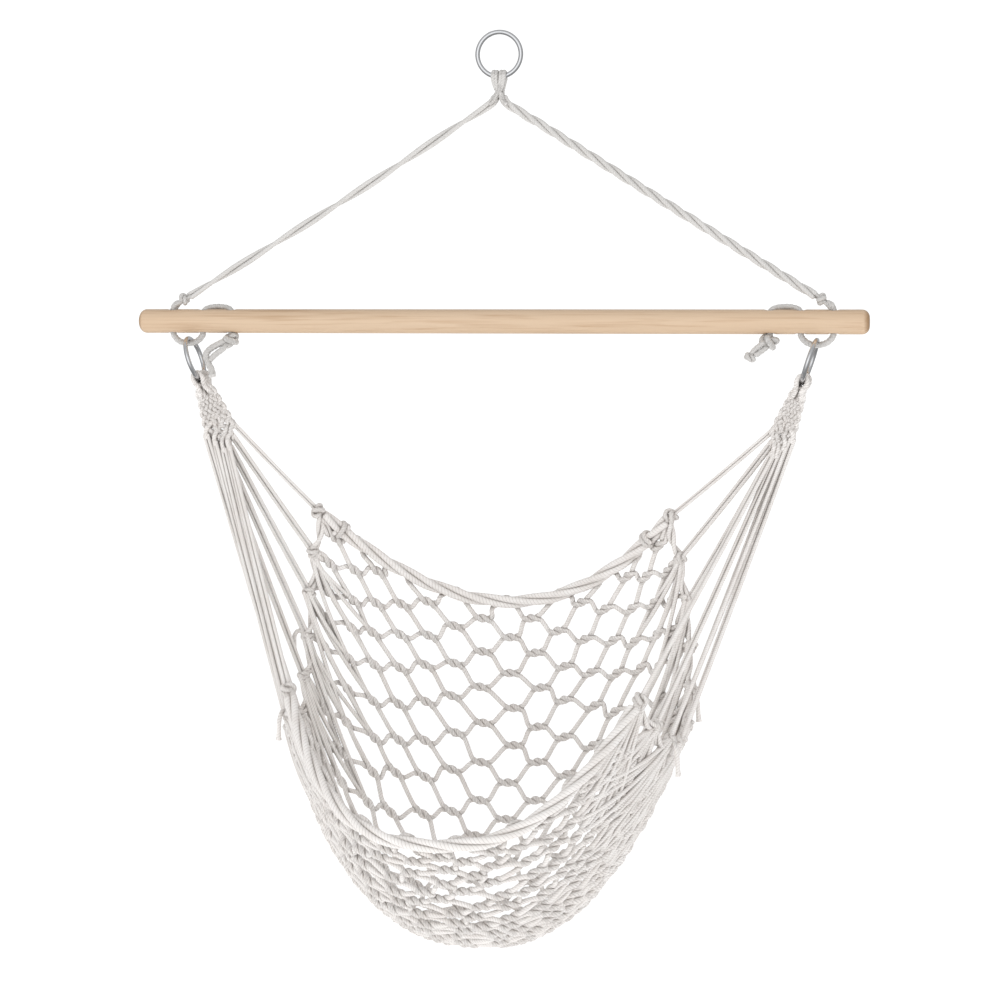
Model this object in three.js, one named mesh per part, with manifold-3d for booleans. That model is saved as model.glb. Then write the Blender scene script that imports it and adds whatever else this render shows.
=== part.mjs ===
// Rope hanging chair: a hanging ring, a knotted rope bridle, a drilled wooden spreader bar, two
// side rings and a rope net seat held between two fans of clew cords.
// Millimetres. +X runs along the bar to the sitter's left, -Y is the open front, +Z is up.
// The origin is the inside top of the hanging ring, where the hook carries it.
import * as THREE from 'three';
import * as BufferGeometryUtils from 'three/addons/utils/BufferGeometryUtils.js';
import Module from 'manifold-3d';

// ---------- driving dimensions ----------
const GAP = 0.4;                 // between pieces that touch
const RING_MEAN = 27.5;          // welded ring, centre of its wire
const WIRE = 2.5;                // ring wire radius
const BAR_LENGTH = 920;
const BAR_RADIUS = 15;
const BAR_ROUND = 9;             // rounding of the bar's ends
const BAR_X = -5;                // the bar hangs a little to one side of the ring
const BAR_Z = -352;              // bar axis
const HOLE_OUTER = 417;          // holes, from the middle of the bar
const HOLE_MIDDLE = 377;
const HOLE_INNER = 340;
const HOLE_RADIUS = 4.4;
const FLARE_RADIUS = 8;          // eased mouth of each hole
const FLARE_DEPTH = 5;
const LASHING = 3.5;             // radius of the cord threaded through the bar
const LOOP_Z = -380;             // lowest centre of the cord loop under the bar
const LOOP_HALF = 20;            // half width of that loop
const BRIDGE_Z = -331.6;         // highest centre of the cord over the bar
const BRIDGE_HALF = 18.5;        // half width of the cord's arch over the bar
const LEG = 4.5;                 // radius of a bridle leg, its plies together
const HITCH_RADIUS = 8.5;        // the hitch's turns round the hanging ring's wire
const HITCH_WIDTH = 16;
const NECK_TOP = 7;              // radius of the hitch's neck at its top and its foot
const NECK_FOOT = 6;
const NECK_Z = -77;              // underside of the hitch, where the legs part
const HITCH_CLEAR = 0.8;         // room left round the wire inside the hitch
const EYE_CLEAR = 0.9;           // and inside the eye of a clew head
const CORNER_KNOT = 10;          // radius
const CLEW_SAG = 0.006;          // sag of a clew cord, as a share of its length
const CORD = 3;                  // radius of clew cords and net cords
const EDGE = 7;                  // radius of the net's edge ropes
const EDGE_REACH = 0.955;        // how far across the seat they run before the corner knots, of 1
const RING_TILT = THREE.MathUtils.degToRad(18);
const HEAD_TILT = THREE.MathUtils.degToRad(21);
const HEAD_TOP = -13;            // clew head, measured down from the ring's lower wire
const HEAD_SHOULDER = 56;
const HEAD_TIP = 92;
const HEAD_HALF = 20;
const HEAD_DEPTH = 13;
const HEAD_BEVEL = 2.5;          // rounding of the head's edges, over its depth
const BACK_CORDS = 6;            // clew cords leaving the back of each head
const FRONT_CORDS = 4;           // clew cords leaving the front of each head
const CLEW_CORDS = BACK_CORDS + FRONT_CORDS;
const SEAT_X = -15;              // the seat hangs off centre by this much
const SEAT_Y = -2;               // brings the seat's weight under its pivots
const NET = 4;                   // thickness of the plain solid that stands for the net
const NET_CLEAR = 2;             // between the net's solid and the edge ropes
const NET_REACH = 0.985;         // how far across the seat the net runs, of 1
const NET_SPAN = 250;            // half width of the seat, for the seams between patches
const PAN_START = 0.38;          // where the sagging pan begins and ends, from back to front
const PAN_END = 0.72;
const FLANK = 0.45;              // where the side patches of the pan and front begin
const SPREAD = THREE.MathUtils.degToRad(60);
const FULLNESS = 0.6;            // how much squarer the sag grows from the back edge to the front
const SIDES = [['left', -1], ['right', 1]];

// Side edge of the seat, back corner to front corner: (half width, y, z).
const SIDE_EDGE = curve([
  [226, 30, -592], [244, 50, -686], [250, 50, -786],
  [250, 20, -860], [240, -35, -858], [219, -95, -803]]);
// Middle line of the seat, back edge to front edge: (x, y, z).
const MIDDLE_LINE = curve([
  [0, 118, -712], [0, 146, -850], [0, 128, -990],
  [-3, 20, -1122], [-7, -138, -1083], [-11, -248, -960]]);

const COLOURS = {
  steel: { color: 0xc9ccd0, roughness: 0.2, metalness: 1 },
  pine: { color: 0xd9b98c, roughness: 0.55, metalness: 0 },
  rope: { color: 0xe9e4dc, roughness: 0.95, metalness: 0 },
};

// ---------- helpers ----------
function curve(points) {
  return new THREE.CatmullRomCurve3(points.map((p) => new THREE.Vector3(...p)), false, 'centripetal');
}

function polygon(radius, sides) {
  const shape = new THREE.Shape();
  for (let i = 0; i < sides; i += 1) {
    const angle = (2 * Math.PI * (i + 0.5)) / sides;
    shape.lineTo(radius * Math.cos(angle), radius * Math.sin(angle));
  }
  return shape;
}

// A cord of the given radius through hand-placed points.
function cord(points, radius, steps, sides = 8) {
  const path = Array.isArray(points) ? curve(points) : points;
  return new THREE.ExtrudeGeometry(polygon(radius, sides), {
    steps, bevelEnabled: false, extrudePath: path,
  });
}

function ring() {
  return new THREE.TorusGeometry(RING_MEAN, WIRE, 8, 36);
}

function lump(rx, ry, rz, x, y, z) {
  return new THREE.SphereGeometry(1, 12, 8).scale(rx, ry, rz).translate(x, y, z);
}

const wasm = await Module();
wasm.setup();

function solid(geometry) {
  const bare = geometry.clone();
  bare.deleteAttribute('normal');
  bare.deleteAttribute('uv');
  const merged = BufferGeometryUtils.mergeVertices(bare, 1e-4);
  return new wasm.Manifold(new wasm.Mesh({
    numProp: 3,
    vertProperties: new Float32Array(merged.attributes.position.array),
    triVerts: new Uint32Array(merged.index.array),
  }));
}

function geometryOf(manifold) {
  const mesh = manifold.getMesh();
  const geometry = new THREE.BufferGeometry();
  geometry.setAttribute('position', new THREE.BufferAttribute(new Float32Array(mesh.vertProperties), 3));
  geometry.setIndex(new THREE.BufferAttribute(new Uint32Array(mesh.triVerts), 1));
  geometry.computeVertexNormals();
  return geometry;
}

const object = new THREE.Group();

function add(name, geometry, finish) {
  const mesh = new THREE.Mesh(geometry, new THREE.MeshStandardMaterial(COLOURS[finish]));
  mesh.name = name;
  object.add(mesh);
}

// ---------- the seat's surface ----------
// s runs from -1 (left edge) to 1 (right edge), v from 0 (back edge) to 1 (front edge).
function seatPoint(s, v) {
  const end = SIDE_EDGE.getPoint(v);
  const middle = MIDDLE_LINE.getPoint(v);
  const across = Math.sin(s * SPREAD) / Math.sin(SPREAD);
  const rise = Math.abs(across) ** (2 + FULLNESS * v);
  return new THREE.Vector3(
    SEAT_X + middle.x + across * end.x,
    SEAT_Y + middle.y + rise * (end.y - middle.y),
    middle.z + rise * (end.z - middle.z));
}

function seatNormal(s, v) {
  const h = 0.004;
  const s0 = Math.max(s - h, -1);
  const s1 = Math.min(s + h, 1);
  const v0 = Math.max(v - h, 0);
  const v1 = Math.min(v + h, 1);
  const alongS = seatPoint(s1, v).sub(seatPoint(s0, v));
  const alongV = seatPoint(s, v1).sub(seatPoint(s, v0));
  return alongS.cross(alongV).normalize();
}

// Length of the seat from back to front at one place across it.
function seatDepth(s) {
  let length = 0;
  for (let i = 1; i <= 40; i += 1) {
    length += seatPoint(s, i / 40).distanceTo(seatPoint(s, (i - 1) / 40));
  }
  return length;
}

// A box bent onto the seat's surface: one patch of the net between two places across the seat and
// two from back to front, clear of the edge ropes and of the patches beside it.
function netPatch([left, right], [back, front], columns, rows) {
  const box = new THREE.BoxGeometry(1, 1, NET, columns, rows, 1);
  const place = box.attributes.position;
  const seam = GAP / NET_SPAN;
  for (let i = 0; i < place.count; i += 1) {
    const s = left + seam + (place.getX(i) + 0.5) * (right - left - 2 * seam);
    const depth = seatDepth(s);
    const margin = (EDGE + NET / 2 + NET_CLEAR) / depth;
    const low = back === 0 ? margin : back + GAP / depth;
    const high = front === 1 ? 1 - margin : front - GAP / depth;
    const v = low + (place.getY(i) + 0.5) * (high - low);
    const p = seatPoint(s, v).addScaledVector(seatNormal(s, v), place.getZ(i));
    place.setXYZ(i, p.x, p.y, p.z);
  }
  return box;
}

// ---------- hanging ring and hitch ----------
function topRing() {
  return ring().rotateX(Math.PI / 2).translate(0, 0, -RING_MEAN + WIRE);
}

function ringHitch() {
  const wireZ = -2 * RING_MEAN + WIRE;
  const turns = new THREE.CylinderGeometry(HITCH_RADIUS, HITCH_RADIUS, HITCH_WIDTH, 20)
    .rotateZ(Math.PI / 2).translate(0, 0, wireZ);
  const neckLength = wireZ - HITCH_RADIUS / 2 - NECK_Z;
  const neck = new THREE.CylinderGeometry(NECK_TOP, NECK_FOOT, neckLength, 16).rotateX(Math.PI / 2)
    .translate(0, 0, NECK_Z + neckLength / 2);
  const wire = new THREE.TorusGeometry(RING_MEAN, WIRE + HITCH_CLEAR, 10, 60)
    .rotateX(Math.PI / 2).translate(0, 0, -RING_MEAN + WIRE);
  return geometryOf(solid(turns).add(solid(neck)).subtract(solid(wire)));
}

// ---------- bridle ----------
function legPoints(side) {
  return [
    [side * 5, 0, NECK_Z - 1.2], [side * 8, 0, NECK_Z - 6], [side * 60, 0, -116],
    [side * 170, 0, -185], [BAR_X / 2 + side * 290, 0, -258], [BAR_X + side * 393.5, 0, -320]];
}

function legKnot(side) {
  return lump(9, 8.5, 7.5, BAR_X + side * 402, 0, -324.5);
}

// ---------- spreader bar ----------
function spreaderBar() {
  const profile = [new THREE.Vector2(0, -BAR_LENGTH / 2)];
  const corners = 5;
  for (const end of [-1, 1]) {
    for (let i = 0; i <= corners; i += 1) {
      const step = end < 0 ? i : corners - i;
      const angle = (step / corners) * Math.PI / 2;
      profile.push(new THREE.Vector2(
        BAR_RADIUS - BAR_ROUND + BAR_ROUND * Math.sin(angle),
        end * (BAR_LENGTH / 2 - BAR_ROUND + BAR_ROUND * Math.cos(angle))));
    }
  }
  profile.push(new THREE.Vector2(0, BAR_LENGTH / 2));
  const rod = new THREE.LatheGeometry(profile, 28).rotateZ(-Math.PI / 2).translate(BAR_X, 0, BAR_Z);
  let bar = solid(rod);
  for (const side of [-1, 1]) {
    for (const x of [HOLE_OUTER, HOLE_MIDDLE, HOLE_INNER]) {
      const at = BAR_X + side * x;
      const bore = new THREE.CylinderGeometry(HOLE_RADIUS, HOLE_RADIUS, 3 * BAR_RADIUS, 12)
        .rotateX(Math.PI / 2).translate(at, 0, BAR_Z);
      bar = bar.subtract(solid(bore));
      for (const up of [-1, 1]) {
        const mouth = new THREE.CylinderGeometry(
          up > 0 ? FLARE_RADIUS : HOLE_RADIUS, up > 0 ? HOLE_RADIUS : FLARE_RADIUS, FLARE_DEPTH, 12)
          .rotateX(Math.PI / 2).translate(at, 0, BAR_Z + up * (BAR_RADIUS - FLARE_DEPTH / 2 + 0.1));
        bar = bar.subtract(solid(mouth));
      }
    }
  }
  return geometryOf(bar);
}

// One cord: from the leg knot down the outer hole, round under the side ring, up the middle hole,
// over the bar and down the inner hole to its stopper knot.
function lashingPoints(side) {
  const x = (fromMiddle) => BAR_X + side * fromMiddle;
  const top = BAR_Z + BAR_RADIUS;
  const bottom = BAR_Z - BAR_RADIUS;
  const loopMid = (HOLE_OUTER + HOLE_MIDDLE) / 2;
  const bridgeMid = (HOLE_MIDDLE + HOLE_INNER) / 2;
  const points = [
    [x(410), 0, -329], [x(414.5), 0, -332], [x(HOLE_OUTER), 0, top - 3], [x(HOLE_OUTER), 0, BAR_Z],
    [x(HOLE_OUTER), 0, bottom + 3]];
  for (const angle of [20, 55, 90, 125, 160]) {
    const turn = THREE.MathUtils.degToRad(angle);
    const drop = (bottom + 2 - LOOP_Z) * Math.sin(turn);
    points.push([x(loopMid + LOOP_HALF * Math.cos(turn)), 0, bottom + 2 - drop]);
  }
  points.push([x(HOLE_MIDDLE), 0, bottom + 3], [x(HOLE_MIDDLE), 0, BAR_Z], [x(HOLE_MIDDLE), 0, top - 5]);
  for (const angle of [30, 60, 90, 120, 150]) {
    const turn = THREE.MathUtils.degToRad(angle);
    const rise = (BRIDGE_Z - top + 5) * Math.sin(turn) ** 0.8;
    points.push([x(bridgeMid + BRIDGE_HALF * Math.cos(turn)), 0, top - 5 + rise]);
  }
  points.push([x(HOLE_INNER), 0, top - 5], [x(HOLE_INNER), 0, BAR_Z], [x(HOLE_INNER), 0, bottom - GAP]);
  return points;
}

function stopperKnot(side) {
  return lump(11, 10, 10, BAR_X + side * HOLE_INNER, 0, BAR_Z - BAR_RADIUS - 10.8);
}

// The cord's end below each stopper knot: the left one is folded, the right one shorter.
const STOPPER_TAILS = {
  left: [[-356.8, -4, -381], [-366, -10, -384], [-377, -15, -389], [-376, -17, -404], [-370, -17, -420]],
  right: [[323.6, -4, -382], [319, -8, -388], [314, -11, -395], [309, -12, -404], [307, -12, -412]],
};

// ---------- side rings and clews ----------
function sideRingPlace(side) {
  const wireTop = LOOP_Z + LASHING + WIRE + GAP;
  return new THREE.Vector3(
    BAR_X + side * ((HOLE_OUTER + HOLE_MIDDLE) / 2 - RING_MEAN * Math.sin(RING_TILT)),
    0,
    wireTop - RING_MEAN * Math.cos(RING_TILT));
}

function sideRing(side, geometry = ring()) {
  const at = sideRingPlace(side);
  return geometry.rotateY(Math.PI / 2).rotateY(side * RING_TILT).translate(at.x, at.y, at.z);
}

// Place on a clew head: lateral is towards the seat, along runs down from the ring's lower wire.
function headPoint(side, lateral, along, y = 0) {
  const at = sideRingPlace(side);
  const foot = new THREE.Vector3(
    at.x - side * RING_MEAN * Math.sin(RING_TILT), 0, at.z - RING_MEAN * Math.cos(RING_TILT));
  return new THREE.Vector3(
    foot.x - side * (along * Math.sin(HEAD_TILT) + lateral * Math.cos(HEAD_TILT)),
    y,
    foot.z - along * Math.cos(HEAD_TILT) + lateral * Math.sin(HEAD_TILT));
}

// The plaited head of a clew, with its eye closed round the ring.
function clewHead(side) {
  const outline = [
    [-7, HEAD_TOP], [7, HEAD_TOP], [9, HEAD_TOP + 6], [9.5, 12], [HEAD_HALF, HEAD_SHOULDER],
    [0, HEAD_TIP], [-HEAD_HALF, HEAD_SHOULDER], [-9.5, 12], [-9, HEAD_TOP + 6]];
  const shape = new THREE.Shape(outline.map(([lateral, along]) => {
    const p = headPoint(side, lateral, along);
    return new THREE.Vector2(p.x, p.z);
  }));
  const depth = HEAD_DEPTH - 2 * HEAD_BEVEL;
  const plate = new THREE.ExtrudeGeometry(shape, {
    depth, bevelThickness: HEAD_BEVEL, bevelSize: 2, bevelOffset: -2, bevelSegments: 2,
  }).rotateX(Math.PI / 2).translate(0, depth / 2, 0);
  const eye = new THREE.TorusGeometry(RING_MEAN, WIRE + EYE_CLEAR, 10, 60);
  return geometryOf(solid(plate).subtract(solid(sideRing(side, eye))));
}

// Clew cord number k of one side, from the head's lower edge to the seat's side edge. The first
// ones leave the back of the head and the rest its front, so that the fan's cords stay apart.
function clewPoints(side, k) {
  const inBack = k < BACK_CORDS;
  const pitch = (2 * HEAD_HALF) / (BACK_CORDS - 1);
  const lateral = inBack ? HEAD_HALF - pitch * k : -HEAD_HALF + pitch * (k - BACK_CORDS);
  const fall = 1 - Math.abs(lateral) / HEAD_HALF;
  const start = headPoint(side, lateral, HEAD_SHOULDER + 12 + fall * (HEAD_TIP - HEAD_SHOULDER - 5),
    inBack ? 3.5 : -3.5);
  const end = seatPoint(side, k / (CLEW_CORDS - 1));
  const reach = end.clone().sub(start);
  const stop = k === 0 || k === CLEW_CORDS - 1 ? CORNER_KNOT + 1 : 2 * CORD;
  const last = end.clone().addScaledVector(reach.clone().normalize(), -stop);
  const points = [];
  for (const t of [0, 0.25, 0.5, 0.75, 1]) {
    const p = start.clone().lerp(last, t);
    p.z -= CLEW_SAG * reach.length() * 4 * t * (1 - t);
    points.push([p.x, p.y, p.z]);
  }
  return points;
}

// ---------- seat edge ropes, corner knots and cut tails ----------
function edgeRope(v) {
  const points = [];
  for (let i = 0; i <= 12; i += 1) {
    const p = seatPoint(EDGE_REACH * (i / 6 - 1), v);
    points.push([p.x, p.y, p.z]);
  }
  return cord(points, EDGE, 28);
}

function cornerKnot(side, v) {
  const p = seatPoint(side, v);
  return lump(CORNER_KNOT, CORNER_KNOT - 1, CORNER_KNOT, p.x, p.y, p.z);
}

// The cut end of a net cord, left hanging beside the knot at the seat's edge.
function cutTail(side, v, outward, length) {
  const p = seatPoint(side, v);
  const x = p.x + side * outward;
  return cord([[x, p.y - 4, p.z - 8], [x + side, p.y - 5, p.z - 8 - length / 2],
    [x + side * 2, p.y - 4, p.z - 8 - length]], CORD, 3);
}

// ---------- assembly ----------
add('top_ring', topRing(), 'steel');
add('ring_hitch', ringHitch(), 'rope');
add('spreader_bar', spreaderBar(), 'pine');
for (const [word, side] of SIDES) {
  add(`bridle_leg_${word}`, cord(legPoints(side), LEG, 16), 'rope');
  add(`leg_knot_${word}`, legKnot(side), 'rope');
  add(`bar_lashing_${word}`, cord(lashingPoints(side), LASHING, 56), 'rope');
  add(`stopper_knot_${word}`, stopperKnot(side), 'rope');
  add(`stopper_tail_${word}`, cord(STOPPER_TAILS[word], LASHING, 8), 'rope');
  add(`side_ring_${word}`, sideRing(side), 'steel');
  add(`clew_head_${word}`, clewHead(side), 'rope');
  for (let k = 0; k < CLEW_CORDS; k += 1) {
    add(`clew_cord_${word}_${k + 1}`, cord(clewPoints(side, k), CORD, 8), 'rope');
  }
  add(`corner_knot_back_${word}`, cornerKnot(side, 0), 'rope');
  add(`corner_knot_front_${word}`, cornerKnot(side, 1), 'rope');
}
add('edge_rope_back', edgeRope(0), 'rope');
add('edge_rope_front', edgeRope(1), 'rope');
add('seat_net_back', netPatch([-NET_REACH, NET_REACH], [0, PAN_START], 20, 9), 'rope');
for (const [word, from, to, columns] of [
  ['left', -NET_REACH, -FLANK, 7], ['middle', -FLANK, FLANK, 8], ['right', FLANK, NET_REACH, 7]]) {
  add(`seat_net_pan_${word}`, netPatch([from, to], [PAN_START, PAN_END], columns, 9), 'rope');
  add(`seat_net_front_${word}`, netPatch([from, to], [PAN_END, 1], columns, 7), 'rope');
}
add('cut_tail_left_1', cutTail(-1, 0.3, 14, 26), 'rope');
add('cut_tail_left_2', cutTail(-1, 0.93, 9, 34), 'rope');
add('cut_tail_right_1', cutTail(1, 0.45, 8, 30), 'rope');
add('cut_tail_right_2', cutTail(1, 0.78, 9, 34), 'rope');

export default object;
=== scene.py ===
"""Looks of the rope hanging chair: laid cotton cord, its knots and plaits, a pine bar and plated rings.

Lengths are in millimetres until a mesh is made. +X runs along the bar to the sitter's left, -Y is the
open front and +Z is up; the origin is the inside top of the hanging ring. "Left" in a name is the -X
side, the left one seen from the front.
"""
import math
import random

import bpy
import numpy as np
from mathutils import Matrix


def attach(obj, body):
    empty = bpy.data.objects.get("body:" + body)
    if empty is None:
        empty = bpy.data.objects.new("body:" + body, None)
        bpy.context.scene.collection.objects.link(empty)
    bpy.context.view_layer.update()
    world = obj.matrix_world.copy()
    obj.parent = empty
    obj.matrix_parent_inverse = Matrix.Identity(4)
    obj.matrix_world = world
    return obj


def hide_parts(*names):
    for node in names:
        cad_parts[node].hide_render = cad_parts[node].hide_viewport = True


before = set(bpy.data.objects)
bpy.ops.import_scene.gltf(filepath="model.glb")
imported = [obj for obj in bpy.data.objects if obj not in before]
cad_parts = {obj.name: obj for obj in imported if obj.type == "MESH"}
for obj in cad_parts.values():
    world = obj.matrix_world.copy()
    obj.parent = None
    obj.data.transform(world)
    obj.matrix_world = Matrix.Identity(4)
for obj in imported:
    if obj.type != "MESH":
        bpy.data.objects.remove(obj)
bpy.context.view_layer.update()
MM = 0.001
SIDES = {"left": -1, "right": 1}

# ---------- driving dimensions, the same as the CAD part's ----------
RING_MEAN = 27.5  # radius to the middle of a ring's wire
WIRE = 2.5  # radius of that wire
BAR_LENGTH = 920.0
BAR_RADIUS = 15.0
BAR_ROUND = 9.0  # rounding of the bar's ends
BAR_X = -5.0  # the bar hangs a little off the ring's middle
BAR_Z = -352.0
HOLES = (417.0, 377.0, 340.0)  # from the bar's middle to its holes
HOLE_RADIUS = 4.4
FLARE_RADIUS = 8.0  # of a hole's eased mouth
FLARE_DEPTH = 5.0
LASHING = 3.5  # radius of the cord that lashes the bar
LOOP_Z = -380.0  # its middle at the bottom of the loop that holds a side ring
BRIDGE_Z = -334.0  # its middle where it crosses over the bar
BRIDGE_LEAN = 6.0  # how far it leans back there
GAP = 0.4  # clearance between pieces that touch
NECK_Z = -77.0  # where the bridle's legs part
CORD = 3.0  # radius of a clew cord
EDGE = 7.0  # radius of an edge rope
CLEW_SAG = 0.006  # sag of a clew cord, as a share of its length
RING_TILT = math.radians(18)
HEAD_TILT = math.radians(21)
HEAD_SHOULDER = 56.0  # from a side ring's lower wire down to the widest place of its head
HEAD_TIP = 92.0  # and to the head's lower end
HEAD_HALF = 20.0  # half its greatest width
BACK_CORDS = 6  # clew cords that leave a head behind, and in front
FRONT_CORDS = 4
CLEW_CORDS = BACK_CORDS + FRONT_CORDS
LAST_CLEW = CLEW_CORDS - 1
SEAT_X = -15.0
SEAT_Y = -2.0
SPREAD = math.radians(60)  # places across the seat are spaced as on this much of an arc
FULLNESS = 0.6  # makes the pocket fuller towards its front edge
# from the back edge to the front one: a side edge, with x from the middle line, and the middle line
SIDE_EDGE = [(226, 30, -592), (244, 50, -686), (250, 50, -786),
             (250, 20, -860), (240, -35, -858), (219, -95, -803)]
MIDDLE_LINE = [(0, 118, -712), (0, 146, -850), (0, 128, -990),
               (-3, 20, -1122), (-7, -138, -1083), (-11, -248, -960)]

# ---------- the cords' make ----------
STEP = 1.4  # between the rings of a cord's mesh
KNOT_STEP = 1.2  # the same in a knot
CURVE_STEPS = 14  # places worked out on a curve per point
STRANDS = 3  # in a cord
LAY = 11.0  # length of one turn of a cord's strands
ROUND = 12  # sides of a cord
VALLEY = 0.13  # depth of the groove between two strands, as a share of the radius
END_RINGS = ((0.35, 0.86, 0.5), (0.62, 0.5, 0.9))  # of a cut end, in radii: reach, size, fraying
NET_CORD = 3.35  # radius of a net cord
NET_COLUMNS = 16  # columns of meshes across the seat, with a column of twists between two
TWIST = 27.0  # length of the twist where two net cords wrap round each other
OPEN_STEP = 0.0340  # between net cords high on the back, as a share of the way to the front edge
CLOSE_STEP = 0.0150  # between net cords at the front, where the net hangs bunched
rng = random.Random(11)


# ---------- curves ----------
NO_CORDS_WAY = (0.3, 0.9, 0.2)  # a direction in which no cord sets out


def spline(points, t):
    """Centripetal Catmull-Rom curve through the points, at each t from 0 to 1."""
    p = np.asarray(points, float)
    last = len(p) - 1
    padded = np.vstack([2 * p[0] - p[1], p, 2 * p[-1] - p[-2]])
    place = np.clip(np.atleast_1d(np.asarray(t, float)), 0, 1) * last
    i = np.minimum(place.astype(int), last - 1)
    w = (place - i)[:, None]
    p0, p1, p2, p3 = (padded[i + k] for k in range(4))
    d0, d1, d2 = (np.sqrt(np.linalg.norm(b - a, axis=1))[:, None] + 1e-9
                  for a, b in ((p0, p1), (p1, p2), (p2, p3)))
    m1 = ((p1 - p0) / d0 - (p2 - p0) / (d0 + d1) + (p2 - p1) / d1) * d1
    m2 = ((p2 - p1) / d1 - (p3 - p1) / (d1 + d2) + (p3 - p2) / d2) * d1
    return p1 + m1 * w + (3 * (p2 - p1) - 2 * m1 - m2) * w**2 + (2 * (p1 - p2) + m1 + m2) * w**3


def travelled(path):
    """The length of a path up to each of its points."""
    return np.concatenate([[0], np.cumsum(np.linalg.norm(np.diff(path, axis=0), axis=1))])


def evenly(path, step=STEP):
    """The same path with its points a step apart."""
    along = travelled(path)
    count = max(2, int(round(along[-1] / step)) + 1)
    at = np.linspace(0, along[-1], count)
    return np.stack([np.interp(at, along, path[:, k]) for k in range(3)], 1)


def through(points):
    """A smooth path through listed points."""
    return evenly(spline(points, np.linspace(0, 1, CURVE_STEPS * len(points))))


def unit(v):
    return v / np.maximum(np.linalg.norm(v, axis=-1, keepdims=True), 1e-9)


def across(path):
    """Two directions across a path that turn no more than the path does."""
    tangent = unit(np.gradient(path, axis=0))
    u = np.cross(tangent[0], NO_CORDS_WAY)
    us = np.empty_like(path)
    for k, t in enumerate(tangent):
        u = u - t * (u @ t)
        u = u / math.sqrt(u @ u)
        us[k] = u
    return us, np.cross(tangent, us)


def plies(path, count, reach, pitch, phase=0.0):
    """Paths of several cords that lie round a path as the strands of a rope do."""
    u, v = across(path)
    steps = travelled(path)
    made = []
    for k in range(count):
        angle = phase + 2 * math.pi * (k / count + steps / pitch)
        made.append(path + reach * (np.cos(angle)[:, None] * u + np.sin(angle)[:, None] * v))
    return made


# ---------- the seat's surface ----------
def seat(s, v):
    """Places on the seat: s from -1, the left edge, to 1, and v from 0, the back edge, to 1."""
    s, v = (np.ravel(a).astype(float) for a in np.broadcast_arrays(s, v))
    end, middle = spline(SIDE_EDGE, v), spline(MIDDLE_LINE, v)
    side = np.sin(s * SPREAD) / math.sin(SPREAD)
    rise = np.abs(side) ** (2 + FULLNESS * v)
    return np.stack([SEAT_X + middle[:, 0] + side * end[:, 0],
                     SEAT_Y + middle[:, 1] + rise * (end[:, 1] - middle[:, 1]),
                     middle[:, 2] + rise * (end[:, 2] - middle[:, 2])], 1)


def seat_axes(s, v):
    """Along the net cords, down the seat across them, and out of its surface; and mm per unit of s."""
    h = 0.004
    along = (seat(s + h, v) - seat(s - h, v)) / (2 * h)
    low, high = np.clip(v - h, 0, 1), np.clip(v + h, 0, 1)
    down = seat(s, high) - seat(s, low)
    out = unit(np.cross(along, down))
    return unit(along), np.cross(out, unit(along)), out, np.linalg.norm(along, axis=1)


# ---------- cord meshes ----------
def laid(path, radius, pitch=LAY, valley=VALLEY, phase=0.0, frayed=(0, 0)):
    """Points, faces and lay coordinates of a laid cord along an even path."""
    u, v = across(path)
    steps = travelled(path)
    swell = np.ones(len(path))
    tangent = unit(np.gradient(path, axis=0))
    caps = []
    for end, fray in zip((0, -1), frayed):
        way = -1 if end == 0 else 1
        for reach, size, loose in END_RINGS:
            caps.append((path[end] + way * reach * (1 + fray) * radius * tangent[end], size + loose * fray))
        if fray:
            near = np.abs(steps - steps[end]) / (3 * radius)
            swell += 0.35 * fray * np.clip(1 - near, 0, 1)
    centre = np.vstack([caps[1][0], caps[0][0], path, caps[2][0], caps[3][0]])
    swell = np.concatenate([[caps[1][1], caps[0][1]], swell, [caps[2][1], caps[3][1]]])
    swell[:2] *= swell[2]
    swell[-2:] *= swell[-3]
    u = np.vstack([u[0], u[0], u, u[-1], u[-1]])
    v = np.vstack([v[0], v[0], v, v[-1], v[-1]])
    steps = np.concatenate([[steps[0]] * 2, steps, [steps[-1]] * 2])
    turn = 2 * math.pi * np.arange(ROUND) / ROUND
    lobes = 1 - valley * (1 - np.abs(np.cos(STRANDS * turn / 2)))
    angle = turn[None, :] + phase + 2 * math.pi * steps[:, None] / pitch
    reach = radius * swell[:, None] * lobes[None, :]
    points = (centre[:, None, :] + reach[..., None] * (
        np.cos(angle)[..., None] * u[:, None, :] + np.sin(angle)[..., None] * v[:, None, :]))
    rows = len(centre)
    k, j = np.meshgrid(np.arange(rows - 1), np.arange(ROUND), indexing="ij")
    j1 = (j + 1) % ROUND
    quads = np.stack([k * ROUND + j, k * ROUND + j1, (k + 1) * ROUND + j1, (k + 1) * ROUND + j], -1)
    around = np.stack([j, j + 1, j + 1, j], -1) / ROUND
    lengthwise = steps[np.stack([k, k, k + 1, k + 1], -1)]
    uv = np.stack([around, lengthwise], -1).reshape(-1, 4, 2)
    return points.reshape(-1, 3), quads.reshape(-1, 4), uv


def placed(name, mesh, material, body):
    """A smooth piece made from a mesh; without a body it is only a tool that cuts."""
    mesh.polygons.foreach_set("use_smooth", [True] * len(mesh.polygons))
    mesh.materials.append(material)
    mesh.update()
    piece = bpy.data.objects.new(name, mesh)
    bpy.context.scene.collection.objects.link(piece)
    if body:
        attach(piece, body)
    return piece


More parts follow.
